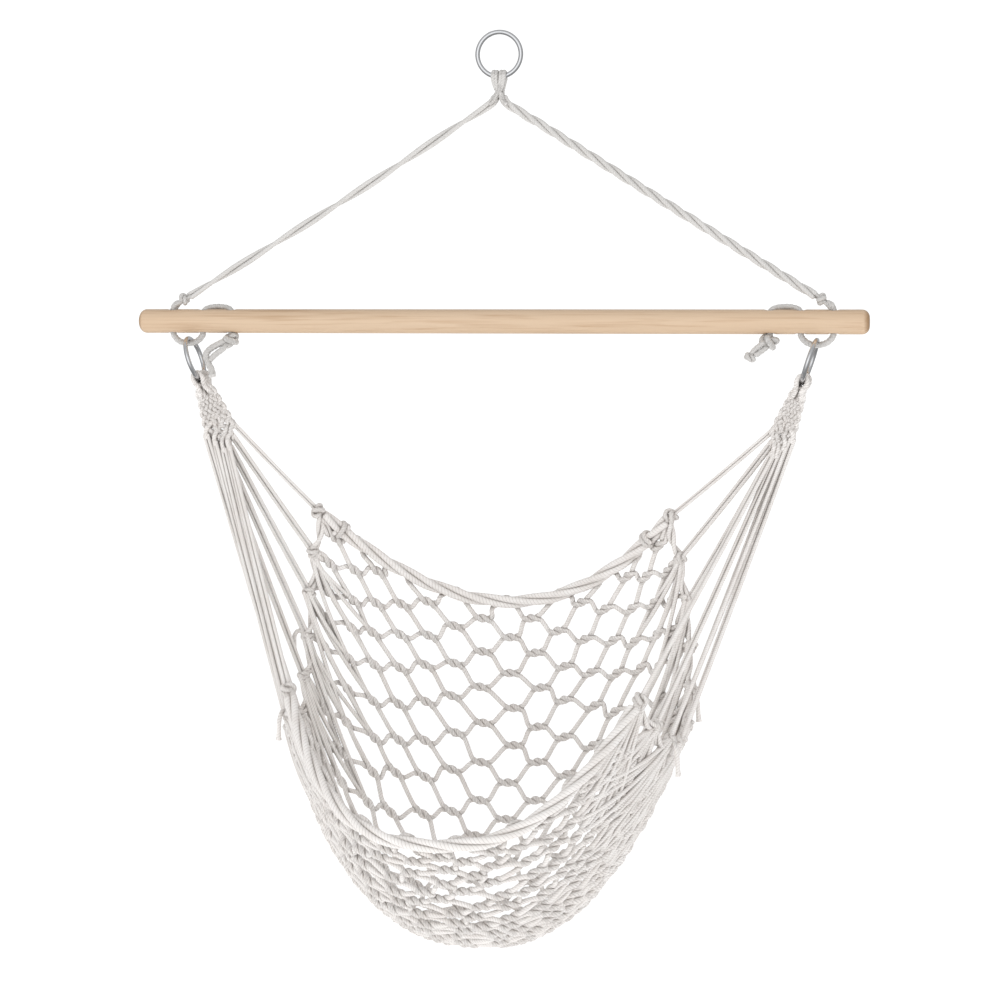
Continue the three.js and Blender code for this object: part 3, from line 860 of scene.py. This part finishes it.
def make_clew_cords():
    """The cords that fan out from each head to the seat: two plies nearly side by side."""
    for word, side in SIDES.items():
        for k in range(CLEW_CORDS):
            path = fan_path(side, k)
            ply, reach = (THIN_PLY, THIN_REACH) if k == 0 else (FAN_PLY, FAN_REACH)
            lain = plies(path, 2, reach, (FAN_TURN + FAN_TURN_MORE * k) * side,
                         phase=FAN_ROLL * math.sin(3 * k))
            tubes = [laid(evenly(p), ply, pitch=FAN_LAY, phase=rng.uniform(0, 2)) for p in lain]
            piece = net_piece(f"fan_cord_{word}_{k + 1}", tubes)
            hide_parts(f"clew_cord_{word}_{k + 1}")


def plait(m, along):
    """Where strand m of a flat plait of ten is: across from 1 to -1, and forward or back."""
    phase = (BRAID_START + m / CLEW_CORDS + (along - BRAID_TOP) / BRAID_PERIOD) % 1
    over = math.cos(2 * CLEW_CORDS * math.pi * phase) * min(1, 12 * min(phase % 0.5, 0.5 - phase % 0.5))
    return 4 * abs(phase - 0.5) - 1, over if phase < 0.5 else -over


def smooth(x):
    """From 0 to 1 with a gentle start and end."""
    x = min(1.0, max(0.0, x))
    return x * x * (3 - 2 * x)


def head_half(side, along):
    """Half the width of a plaited head."""
    return HEAD_SQUEEZE[side] * (NECK_HALF + (HEAD_HALF - NECK_HALF) * min(1, along / HEAD_SHOULDER))


def strand_path(side, m, k, y_top, way):
    """One strand from beside the ring's wire down through the plait to the start of cord k."""
    squeeze = HEAD_SQUEEZE[side]
    end_lateral, end_along, end_y = clew_start(k)
    points = []
    for along in np.arange(1.0, end_along + 2, HEAD_STEP):
        edge, over = plait(m, along)
        lateral, y = head_half(side, along) * edge, BRAID_DEPTH * over
        beside_wire = way * (BESIDE_WIRE - DRAWN_IN * smooth(along / DRAWN_BY))
        lateral += (1 - smooth((along - PART_FROM) / PART_IN)) * (beside_wire - lateral)
        y += (1 - smooth((along - WEAVE_FROM) / WEAVE_IN)) * (y_top - y)
        leave = smooth((along - end_along + LEAVE_IN) / LEAVE_IN)
        lateral += leave * (end_lateral * squeeze - lateral)
        y += leave * (end_y - y)
        points.append(head_point(side, lateral, along, y))
    points.append(head_point(side, end_lateral * squeeze, end_along + 3, end_y))
    return points


def make_clew_heads():
    """Five cords looped over each ring's wire, their ten legs plaited flat and let go one by one."""
    for word, side in SIDES.items():
        order = sorted(range(CLEW_CORDS), key=lambda m: -plait(m, MATCHED)[0])
        goals = sorted(range(CLEW_CORDS), key=lambda k: (-clew_start(k)[0], clew_start(k)[2]))
        goal = dict(zip(order, goals))
        top = {m: plait(m, BRAID_TOP)[0] for m in range(CLEW_CORDS)}
        outer = sorted((m for m in top if top[m] > 0), key=lambda m: -top[m])
        inner = sorted((m for m in top if top[m] <= 0), key=lambda m: top[m])
        tubes = []
        for a, b, y in zip(outer, inner, LOOP_PLACES):
            lift = RING_MEAN - math.sqrt(RING_MEAN**2 - y**2)
            over = [head_point(side, lateral, -lift - rise, y) for lateral, rise in LOOP_OVER]
            first, second = strand_path(side, a, goal[a], y, 1), strand_path(side, b, goal[b], y, -1)
            tubes.append(laid(through(first[::-1] + over + second), HEAD_CORD, phase=y))
        for share, y in CORE_PLACES:
            core = [head_point(side, share * smooth(along / CORE_WIDENS) * head_half(side, along), along,
                               y * (1 - smooth(along / CORE_FLATTENS))) for along in CORE_ALONG]
            tubes.append(laid(through(core), CORD, phase=y))
        head = net_piece(f"plaited_head_{word}", tubes)
        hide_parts(f"clew_head_{word}")


# ---------- net ----------
# places down the seat, from 0 at the back edge to 1 at the front one
BUNCH_FROM, BUNCH_IN = 0.34, 0.34  # where net cords start to lie closer, and in what length
PAN_FROM, FRONT_FROM = 0.38, 0.72  # where the CAD's strips of net meet
UNEVEN_ALONG, UNEVEN_DOWN = 0.015, 0.11  # of the twists, as shares of the seat and of the spacing
INTO_EACH_OTHER = 0.55  # how deep twisted net cords press together
EDGE_WRAP_HALF = 19.0  # half the length of an outer net cord's wrap round an edge rope


def net_places():
    """How far from the back edge to the front one each net cord runs: closer together to the front."""
    places = [0.0]
    while places[-1] < 1:
        close = smooth((places[-1] - BUNCH_FROM) / BUNCH_IN)
        step = OPEN_STEP + close * (CLOSE_STEP - OPEN_STEP)
        places.append(places[-1] + step * (0.5 if len(places) == 1 else 1))
    count = len(places) - 1 - (len(places) + 1) % 2
    return [v / places[count] for v in places[:count + 1]]


NET_PLACES = net_places()
NET_CORDS = len(NET_PLACES) - 1


def node_shift(pair, j):
    """A small, fixed unevenness of each twist: across the seat, and along it from back to front."""
    local = random.Random(1000 * pair + j)
    loose = 1 + 1.6 * smooth((NET_PLACES[pair] - 0.4) / 0.3)
    return (local.uniform(-UNEVEN_ALONG, UNEVEN_ALONG) * loose,
            local.uniform(-UNEVEN_DOWN, UNEVEN_DOWN) * loose)


def column_place(j, v):
    """Where column j of twists crosses the seat: the outer ones stand clear of the gathered ends."""
    s = -1 + 2 * j / NET_COLUMNS
    gathered = 0.055 * smooth((v - 0.3) / 0.3)
    return s * (1 - gathered * abs(s))


def net_path(i):
    """The route of net cord i, twisting in turn round the cord behind it and the one in front."""
    own = NET_PLACES[i]
    gather = round(own * LAST_CLEW) / LAST_CLEW
    local = random.Random(i)
    ends = [seat(side, gather)[0] + (side * local.uniform(-4, 1), local.uniform(-4, 4),
                                     -55 * (own - gather) + local.uniform(-3, 3)) for side in (-1, 1)]
    points = [ends[0]]
    for j in range(1, NET_COLUMNS):
        partner = i + 1 if (i + j) % 2 == 0 else i - 1
        pair = min(i, partner)
        shift_s, shift_v = node_shift(pair, j)
        v = (NET_PLACES[pair] + NET_PLACES[pair + 1]) / 2
        v += shift_v * (NET_PLACES[pair + 1] - NET_PLACES[pair])
        at_edge = pair in (0, NET_CORDS - 1)
        reach, half = NET_CORD - INTO_EACH_OTHER, TWIST / 2 + 5 * smooth((v - 0.35) / 0.3)
        if at_edge:
            v, reach, half = float(pair > 0), EDGE + NET_CORD - 0.5, EDGE_WRAP_HALF
        s = column_place(j, v) + shift_s
        along, down, out, scale = (a[0] for a in seat_axes(s, v))
        centre = seat(s, v)[0]
        half = min(half, (0.5 if at_edge else 0.32) * 2 / NET_COLUMNS * scale)
        start = 0.0 if partner < i else math.pi
        for t in np.linspace(0, 1, 9):
            angle = start + (1.9 * math.sin(math.pi * t) if at_edge else 2 * math.pi * t)
            points.append(centre + along * half * (2 * t - 1)
                          + reach * (math.cos(angle) * down + math.sin(angle) * out))
    points.append(ends[1])
    return through(points)


def make_net():
    """The net's cords, each in place of the strips of the CAD's net that it runs through."""
    for i in range(1, NET_CORDS):
        path = net_path(i)
        piece = net_piece(f"net_cord_{i:02d}", [laid(path, NET_CORD, phase=rng.uniform(0, 2))])
        v = NET_PLACES[i]
        if v < PAN_FROM:
            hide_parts("seat_net_back")
        else:
            strip = "pan" if v < FRONT_FROM else "front"
            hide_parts(*[f"seat_net_{strip}_{part}" for part in ("left", "middle", "right")])


GATHER_REACH = 0.19  # how far down the seat the strands gathered in one knot fan out


def gathered_strands(side, k):
    """Strands of one knot of a side edge, running in to the nearest twists of the net."""
    knot_v = k / LAST_CLEW
    low, high = (-0.15, -0.005) if k == LAST_CLEW else (0.02, GATHER_REACH)
    tubes = []
    for pair in range(1, NET_CORDS - 1):
        v = (NET_PLACES[pair] + NET_PLACES[pair + 1]) / 2
        if k == 0 or not low < v - knot_v < high:
            continue
        column = 2 + pair % 2
        shift_s, shift_v = node_shift(pair, column if side < 0 else NET_COLUMNS - column)
        s = column_place(column, v) * -side + shift_s
        t = np.linspace(0, 1, 7)
        at_v = knot_v + (v + shift_v * (NET_PLACES[pair + 1] - NET_PLACES[pair]) - knot_v) * t**0.8
        path = seat(side + (s - side) * t, at_v)
        spread = random.Random(50 * pair + k)
        path += np.outer(1 - t, [spread.uniform(-4, 4), spread.uniform(-6, 4), spread.uniform(-6, 2)])
        path[:, 1] -= spread.uniform(1, 9) * np.sin(math.pi * t)
        tubes.append(laid(through(path), NET_CORD - 0.5, phase=pair))
    return tubes


def make_selvages():
    """The doubled cords that join one knot of each side edge to the next, and strands gathered there."""
    for word, side in SIDES.items():
        tubes = []
        for k in range(CLEW_CORDS):
            tubes += gathered_strands(side, k)
            if k == LAST_CLEW:
                continue
            v = np.linspace(k / LAST_CLEW, (k + 1) / LAST_CLEW, 7)
            bow = 0.035 * np.sin(np.linspace(0, math.pi, 7))
            path = through(seat(side * (1 - bow), v))
            count, reach = (3, 3.6) if k == LAST_CLEW - 1 else (2, 2.8)
            tubes += [laid(evenly(p), NET_CORD - 0.3) for p in plies(path, count, reach, 60.0, phase=k)]
        net_piece(f"side_selvage_{word}", tubes)


def make_edge_ropes():
    """Three cords laid together with a long lay; the back one has a knot near each end."""
    for word, v in (("back", 0.0), ("front", 1.0)):
        path = edge_path(v)
        lain = plies(path, 3, 4.5, 170.0, phase=v + 0.6)
        tubes = [laid(evenly(p), 4.3, pitch=14, valley=0.08) for p in lain]
        rope = net_piece(f"edge_cords_{word}", tubes)
        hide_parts(f"edge_rope_{word}")
    for word, s in (("left", -0.84), ("right", 0.8)):
        along = seat_axes(s, 0.0)[0][0]
        net_piece(f"edge_hitch_{word}", [coil(seat(s, 0)[0], along, NET_CORD, 9.2, 1.7, roll=s)])


def make_net_knots():
    """The knot of each clew cord on the seat's side edge; those of the four corners are bigger."""
    for word, side in SIDES.items():
        for k in range(CLEW_CORDS):
            end = seat(side, k / LAST_CLEW)[0]
            toward = unit(end - clew_path(side, k)[0])
            roll = 0.8 * k
            if k in (0, LAST_CLEW):
                corner = f"{'back' if k == 0 else 'front'}_{word}"
                tubes = [knot(end, toward, 3.2, 4.7, 3.3, squash=1.3, roll=roll)]
                piece = net_piece(f"corner_knot_cord_{corner}", tubes)
                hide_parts(f"corner_knot_{corner}")
            else:
                tubes = [knot(end, toward, 2.8, 3.7, 2.6, squash=1.3, roll=roll),
                         coil(end + 5 * toward, toward, 2.6, 5.4, 1.4, roll=roll)]
                net_piece(f"net_knot_{word}_{k + 1}", tubes)


# of each cut end: side, place down the seat, how far it hangs outside the edge, and its length
TAILS = {"left_1": (-1, 0.3, 14, 26), "left_2": (-1, 0.93, 9, 34),
         "right_1": (1, 0.45, 8, 30), "right_2": (1, 0.78, 9, 34)}


def make_tails():
    """The cut ends that hang from knots of the side edges."""
    for word, place in TAILS.items():
        side, v = place[:2]
        knot_place = seat(side, round(v * LAST_CLEW) / LAST_CLEW)[0]
        hanging = tail_path(*place)
        path = through([knot_place, (knot_place + 2 * hanging[0]) / 3 - (0, 2, 0)]
                       + [tuple(hanging[k]) for k in (len(hanging) // 3, 2 * len(hanging) // 3, -1)])
        piece = net_piece(f"tail_cord_{word}", [laid(path, CORD, frayed=(0, 0.6))])
        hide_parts(f"cut_tail_{word}")


# ---------- the whole ----------
make_camera()
make_legs()
make_lashings()
make_clew_cords()
make_edge_ropes()
make_net()
make_selvages()
make_net_knots()
make_tails()
make_clew_heads()
make_hitch()
make_leg_knots()
make_stoppers()
make_bar()
make_rings()
make_world()
make_floor()
make_area_light("key", place=(-1.6, -2.6, 2.2), size=1.6, power=42)
make_area_light("fill", place=(2.8, -2.4, 0.6), size=2.0, power=14)
bpy.context.scene.view_settings.view_transform = "Standard"
